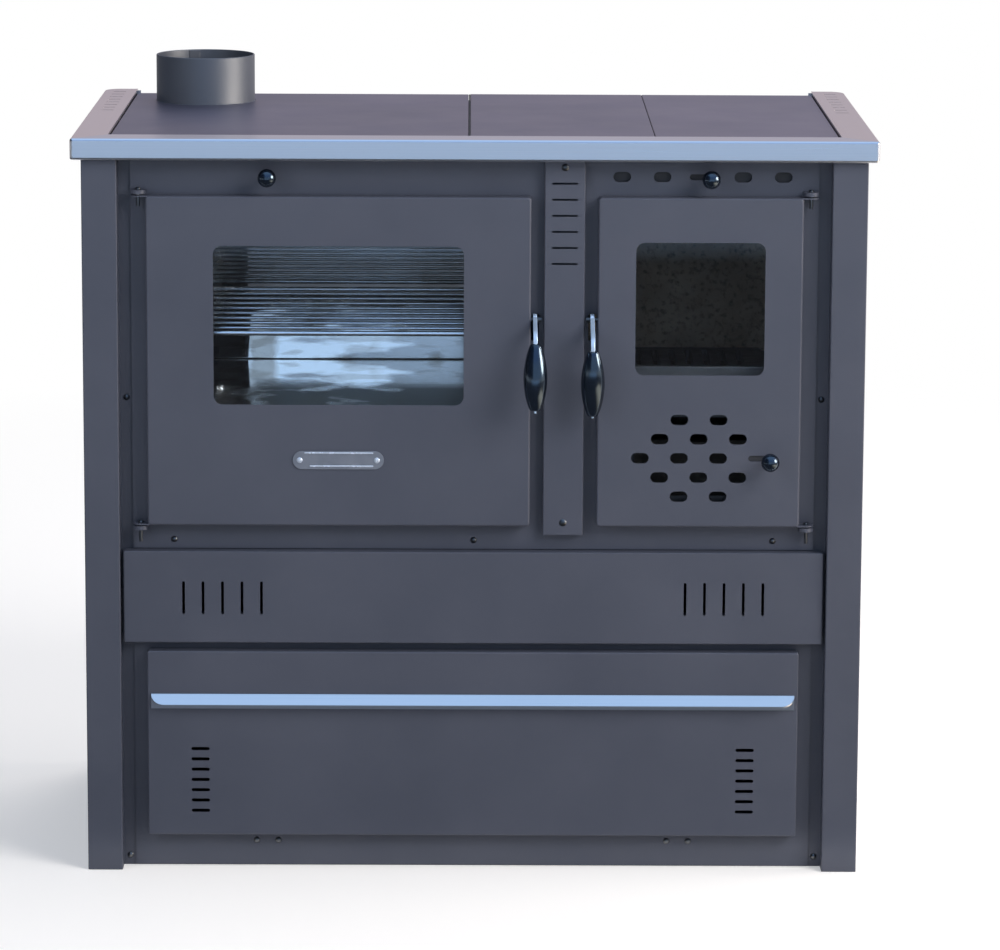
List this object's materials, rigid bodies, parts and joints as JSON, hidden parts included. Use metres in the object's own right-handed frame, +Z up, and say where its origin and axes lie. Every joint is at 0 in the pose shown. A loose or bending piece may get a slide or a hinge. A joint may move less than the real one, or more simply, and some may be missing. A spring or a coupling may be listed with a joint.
{
  "type": "wood cookstove",
  "caption": "Wood cookstove with a glazed oven, a glazed firebox with air controls, a wood drawer, a steel hob in a folded rim and a flue collar.",
  "frame": {"origin": "on the floor, under the middle of the case in width and depth", "axes": "+X to the right seen from the front, +Y to the rear, +Z up along the flue collar"},
  "size_m": [0.911, 0.589, 0.903],
  "materials": {
    "case_paint": "satin heat-proof paint",
    "rim_steel": "brushed",
    "hob_steel": "matt, ground",
    "flue_enamel": "satin enamel",
    "inner_steel": "mill finish",
    "oven_steel": "bright annealed, polished",
    "liner_enamel": "gloss enamel",
    "rack_chrome": "bright plated wire",
    "cast_iron": "rough",
    "firebrick": "dry, matt",
    "door_glass": "tinted, polished",
    "rope_seal": "knitted glass rope",
    "fixing_steel": "zinc plated",
    "lever_steel": "satin",
    "knob_plastic": "polished"
  },
  "bodies": {
    "stove": {"left_side_panel": "case_paint", "right_side_panel": "case_paint", "back_panel": "case_paint", "base_plate": "case_paint", "front_frame": "case_paint", "upper_front_plate": "case_paint", "lower_front_plate": "case_paint", "centre_strip": "case_paint", "band_panel": "case_paint", "top_rim": "rim_steel", "hob_frame": "case_paint", "hob_plate_left": "hob_steel", "flue_collar": "flue_enamel", "flue_duct": "inner_steel", "oven_liner": "oven_steel", "channel_floor": "inner_steel", "cleanout_cover": "inner_steel", "firebox_shell": "inner_steel", "firebrick_sides": "firebrick", "firebrick_back": "firebrick", "grate_support": "cast_iron", "log_guard": "cast_iron", "bay_shelf": "inner_steel", "drawer_runners": "inner_steel", "secondary_guides": "inner_steel", "front_screws": "fixing_steel", "back_screws": "fixing_steel", "hinge_brackets": "case_paint"},
    "oven_door": {"oven_door_skin": "case_paint", "oven_door_liner": "liner_enamel", "oven_door_glass": "door_glass", "oven_glass_clips": "inner_steel", "oven_door_seals": "rope_seal", "oven_door_pins": "fixing_steel"},
    "oven_handle": {"oven_latch_lever": "lever_steel", "oven_grip": "knob_plastic"},
    "fire_door": {"fire_door_skin": "case_paint", "fire_door_liner": "liner_enamel", "fire_door_glass": "door_glass", "fire_glass_clips": "inner_steel", "fire_door_seals": "rope_seal", "fire_door_pins": "fixing_steel", "primary_guides": "inner_steel"},
    "fire_handle": {"fire_latch_lever": "lever_steel", "fire_grip": "knob_plastic"},
    "primary_slide": {"primary_air_slide": "inner_steel", "primary_air_knob": "knob_plastic"},
    "secondary_slide": {"secondary_air_slide": "inner_steel", "secondary_air_knob": "knob_plastic"},
    "flue_damper": {"damper_gate": "inner_steel", "damper_knob": "knob_plastic"},
    "wood_drawer": {"drawer_front": "case_paint", "drawer_box": "inner_steel", "drawer_handle": "rim_steel"},
    "ash_pan": {"ash_pan": "inner_steel"},
    "oven_rack": {"oven_rack": "rack_chrome"},
    "hob_middle": {"hob_plate_middle": "hob_steel"},
    "hob_right": {"hob_plate_right": "hob_steel"},
    "grate": {"fire_grate": "cast_iron"}
  },
  "joints": [
    {"name": "oven_door_swing", "type": "hinge", "parent": "stove", "child": "oven_door", "pos_m": [-0.3804, -0.249, 0.59475], "axis": [0, 0, -1], "range_deg": [0, 110]},
    {"name": "fire_door_swing", "type": "hinge", "parent": "stove", "child": "fire_door", "pos_m": [0.3804, -0.249, 0.59475], "axis": [0, 0, 1], "range_deg": [0, 110]},
    {"name": "oven_handle_lift", "type": "hinge", "parent": "oven_door", "child": "oven_handle", "pos_m": [0.069, -0.249, 0.6434], "axis": [-1, 0, 0], "range_deg": [0, 60]},
    {"name": "fire_handle_lift", "type": "hinge", "parent": "fire_door", "child": "fire_handle", "pos_m": [0.1341, -0.249, 0.6434], "axis": [-1, 0, 0], "range_deg": [0, 60]},
    {"name": "primary_air_slide_travel", "type": "slide", "parent": "fire_door", "child": "primary_slide", "axis": [-1, 0, 0], "range_m": [0, 0.02]},
    {"name": "secondary_air_slide_travel", "type": "slide", "parent": "stove", "child": "secondary_slide", "axis": [-1, 0, 0], "range_m": [0, 0.02]},
    {"name": "flue_damper_pull", "type": "slide", "parent": "stove", "child": "flue_damper", "axis": [0, -1, 0], "range_m": [0, 0.06]},
    {"name": "wood_drawer_pull", "type": "slide", "parent": "stove", "child": "wood_drawer", "axis": [0, -1, 0], "range_m": [0, 0.4]},
    {"name": "ash_pan_pull", "type": "slide", "parent": "stove", "child": "ash_pan", "axis": [0, -1, 0], "range_m": [0, 0.034]},
    {"name": "oven_rack_slide", "type": "slide", "parent": "stove", "child": "oven_rack", "axis": [0, -1, 0], "range_m": [-0.029, 0.016]},
    {"name": "hob_middle_lift", "type": "slide", "parent": "stove", "child": "hob_middle", "axis": [0, 0, 1], "range_m": [0, 0.1]},
    {"name": "hob_right_lift", "type": "slide", "parent": "stove", "child": "hob_right", "axis": [0, 0, 1], "range_m": [0, 0.1]},
    {"name": "grate_lift", "type": "slide", "parent": "stove", "child": "grate", "axis": [0, 0, 1], "range_m": [0, 0.1]}
  ]
}
